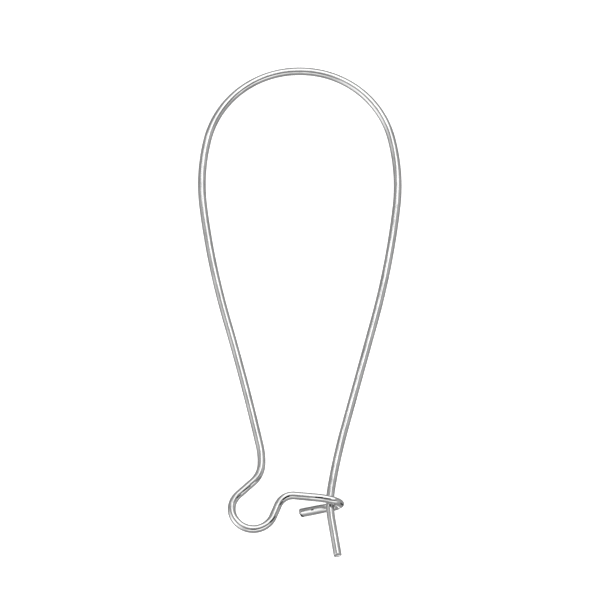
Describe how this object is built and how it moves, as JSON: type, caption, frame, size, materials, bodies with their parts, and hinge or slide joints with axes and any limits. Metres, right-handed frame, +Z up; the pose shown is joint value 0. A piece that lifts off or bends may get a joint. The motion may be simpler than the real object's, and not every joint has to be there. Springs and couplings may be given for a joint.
{
  "type": "latched kidney ear wire",
  "caption": "Kidney-shaped ear wire bent from round silver-toned wire, with a tall arch, a drop loop and a hooked catch that holds the post leg shut.",
  "frame": {"origin": "centre of the bounding box, on the surface that the wire lies on", "axes": "+Y from the tail up to the crown, +X towards the post leg, +Z up from the surface, towards the front of the earring"},
  "size_m": [0.016, 0.04, 0.003],
  "materials": {
    "wire": "polished, silver-toned drawn wire with faint lengthwise draw lines"
  },
  "bodies": {
    "root": {"ear_wire": "wire"}
  },
  "joints": []
}
